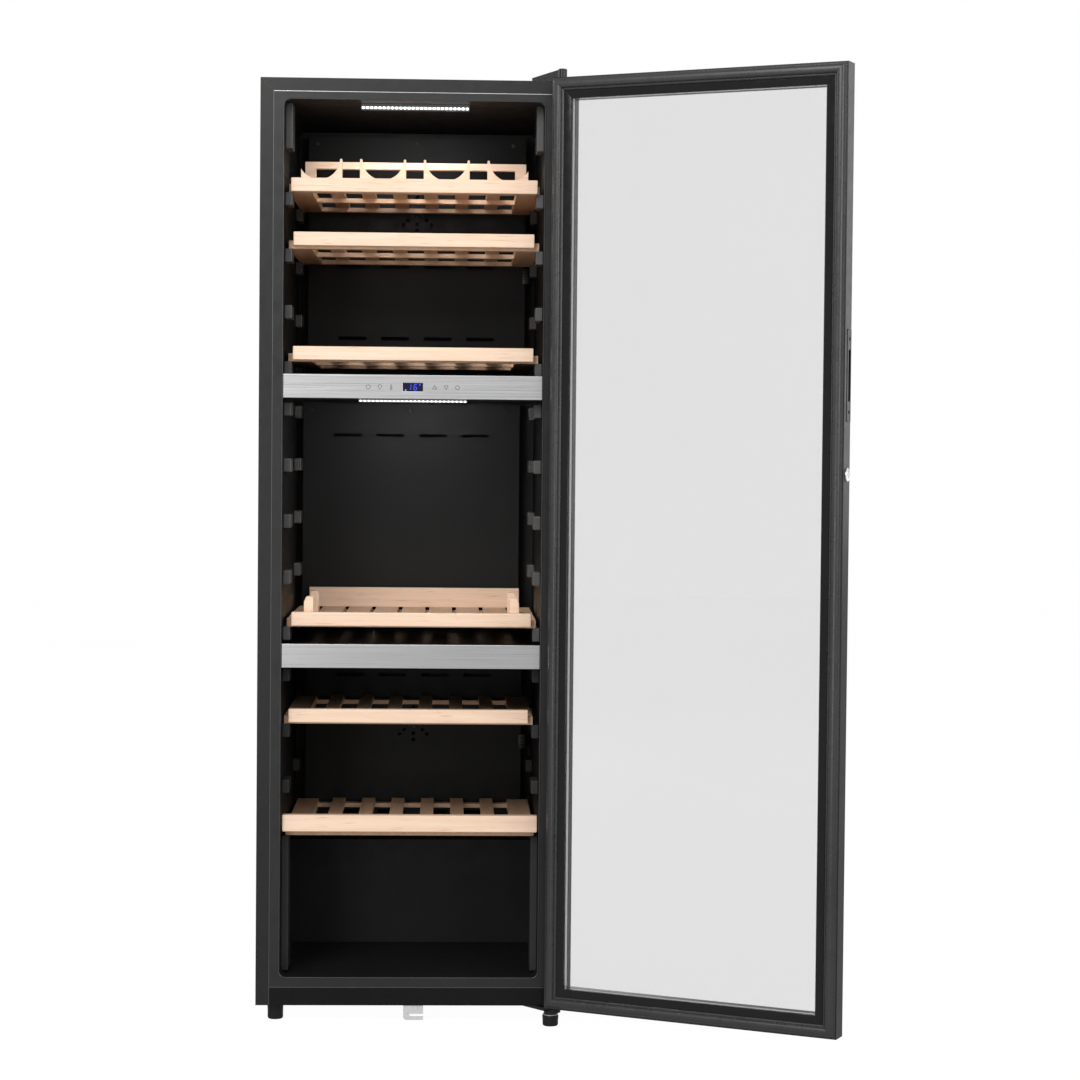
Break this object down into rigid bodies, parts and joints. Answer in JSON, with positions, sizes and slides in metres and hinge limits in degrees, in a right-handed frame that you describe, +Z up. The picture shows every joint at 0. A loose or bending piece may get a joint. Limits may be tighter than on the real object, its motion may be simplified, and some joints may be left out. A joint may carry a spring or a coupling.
{
  "type": "wine cooler",
  "caption": "Tall free-standing wine cooler: insulated cabinet, hinged glass door, control bar and sliding wooden shelves.",
  "frame": {"origin": "centre of the cabinet's footprint, on the floor", "axes": "+Z up, -Y out of the front of the cabinet, +X to the right seen from the front, where the hinge is"},
  "size_m": [1.0236, 0.8418, 1.71],
  "materials": {
    "shell_steel": "satin",
    "base_steel": "satin",
    "zinc_steel": "satin",
    "brushed_steel": "satin",
    "foam": "matte",
    "liner_plastic": "gloss",
    "support_plastic": "satin",
    "divider_plastic": "matte",
    "black_plastic": "satin",
    "panel_plastic": "satin",
    "display": "gloss",
    "circuit_board": "satin",
    "led_lens": "satin",
    "bare_aluminium": "satin",
    "motor_black": "satin",
    "rubber_mount": "matte",
    "coil_steel": "satin",
    "hinge_steel": "satin",
    "foot_plastic": "satin",
    "beech_front": "satin",
    "beech_frame": "satin",
    "door_metal": "satin",
    "glass": "gloss",
    "spacer_metal": "satin",
    "gasket_rubber": "satin",
    "chrome": "polished",
    "bush_plastic": "satin"
  },
  "bodies": {
    "cabinet": {"outer_wrap": "shell_steel", "rear_panel": "base_steel", "base_pan": "base_steel", "base_strip": "shell_steel", "foam_insulation": "foam", "inner_liner": "liner_plastic", "upper_supports": "support_plastic", "middle_supports": "support_plastic", "lower_supports": "support_plastic", "upper_divider": "divider_plastic", "lower_divider": "divider_plastic", "control_fascia": "brushed_steel", "display_window": "display", "control_board": "circuit_board", "lower_fascia": "brushed_steel", "upper_led_bar": "led_lens", "middle_led_bar": "led_lens", "upper_back_panel": "panel_plastic", "middle_back_panel": "panel_plastic", "lower_back_panel": "panel_plastic", "upper_evaporator": "bare_aluminium", "lower_evaporator": "bare_aluminium", "upper_fan_frame": "black_plastic", "lower_fan_frame": "black_plastic", "compressor": "motor_black", "compressor_mounts": "rubber_mount", "condenser_coil": "coil_steel", "mains_inlet": "black_plastic", "keeper_plate": "zinc_steel", "top_hinge_arm": "hinge_steel", "top_hinge_cover": "black_plastic", "bottom_hinge_arm": "hinge_steel"},
    "door": {"door_frame": "door_metal", "door_inner_frame": "black_plastic", "inner_glass": "glass", "outer_glass": "glass", "glass_spacer": "spacer_metal", "door_gasket": "gasket_rubber", "grip_insert": "door_metal", "lock_ring": "chrome", "hinge_bushes": "bush_plastic"},
    "lock": {"lock_plug": "chrome"},
    "cradle_shelf": {"cradle_shelf_front": "beech_front", "cradle_shelf_frame": "beech_frame", "bottle_cradles": "beech_front"},
    "second_shelf": {"second_shelf_front": "beech_front", "second_shelf_frame": "beech_frame"},
    "third_shelf": {"third_shelf_front": "beech_front", "third_shelf_frame": "beech_frame"},
    "display_shelf": {"display_shelf_front": "beech_front", "display_shelf_frame": "beech_frame", "display_retainers": "beech_front"},
    "fourth_shelf": {"fourth_shelf_front": "beech_front", "fourth_shelf_frame": "beech_frame"},
    "bottom_shelf": {"bottom_shelf_front": "beech_front", "bottom_shelf_frame": "beech_frame"},
    "upper_fan": {"upper_fan_rotor": "black_plastic"},
    "lower_fan": {"lower_fan_rotor": "black_plastic"},
    "front_left_leveller": {"front_left_foot": "foot_plastic"},
    "front_right_leveller": {"front_right_foot": "foot_plastic"},
    "rear_left_leveller": {"rear_left_foot": "foot_plastic"},
    "rear_right_leveller": {"rear_right_foot": "foot_plastic"}
  },
  "joints": [
    {"name": "door_hinge", "type": "hinge", "parent": "cabinet", "child": "door", "pos_m": [0.262, -0.3025, 0.86], "axis": [0, 0, 1], "range_deg": [-153, 7]},
    {"name": "lock_turn", "type": "hinge", "parent": "door", "child": "lock", "pos_m": [0.74138, -0.54451, 0.996], "axis": [0.891, -0.454, 0], "range_deg": [0, 90]},
    {"name": "cradle_shelf_slide", "type": "slide", "parent": "cabinet", "child": "cradle_shelf", "axis": [0, -1, 0], "range_m": [0, 0.26]},
    {"name": "second_shelf_slide", "type": "slide", "parent": "cabinet", "child": "second_shelf", "axis": [0, -1, 0], "range_m": [0, 0.26]},
    {"name": "third_shelf_slide", "type": "slide", "parent": "cabinet", "child": "third_shelf", "axis": [0, -1, 0], "range_m": [0, 0.26]},
    {"name": "display_shelf_slide", "type": "slide", "parent": "cabinet", "child": "display_shelf", "axis": [0, -1, 0], "range_m": [0, 0.26]},
    {"name": "fourth_shelf_slide", "type": "slide", "parent": "cabinet", "child": "fourth_shelf", "axis": [0, -1, 0], "range_m": [0, 0.26]},
    {"name": "bottom_shelf_slide", "type": "slide", "parent": "cabinet", "child": "bottom_shelf", "axis": [0, -1, 0], "range_m": [0, 0.26]},
    {"name": "upper_fan_spin", "type": "hinge", "parent": "cabinet", "child": "upper_fan", "pos_m": [0, 0.19, 1.5], "axis": [0, 1, 0], "continuous": true},
    {"name": "lower_fan_spin", "type": "hinge", "parent": "cabinet", "child": "lower_fan", "pos_m": [0, 0.19, 0.5], "axis": [0, 1, 0], "continuous": true},
    {"name": "front_left_foot_turn", "type": "hinge", "parent": "cabinet", "child": "front_left_leveller", "pos_m": [-0.241, -0.2435, 0.01], "axis": [0, 0, 1], "range_deg": [-180, 180]},
    {"name": "front_right_foot_turn", "type": "hinge", "parent": "cabinet", "child": "front_right_leveller", "pos_m": [0.256, -0.3005, 0.01], "axis": [0, 0, 1], "range_deg": [-180, 180]},
    {"name": "rear_left_foot_turn", "type": "hinge", "parent": "cabinet", "child": "rear_left_leveller", "pos_m": [-0.241, 0.2325, 0.01], "axis": [0, 0, 1], "range_deg": [-180, 180]},
    {"name": "rear_right_foot_turn", "type": "hinge", "parent": "cabinet", "child": "rear_right_leveller", "pos_m": [0.241, 0.2325, 0.01], "axis": [0, 0, 1], "range_deg": [-180, 180]}
  ]
}
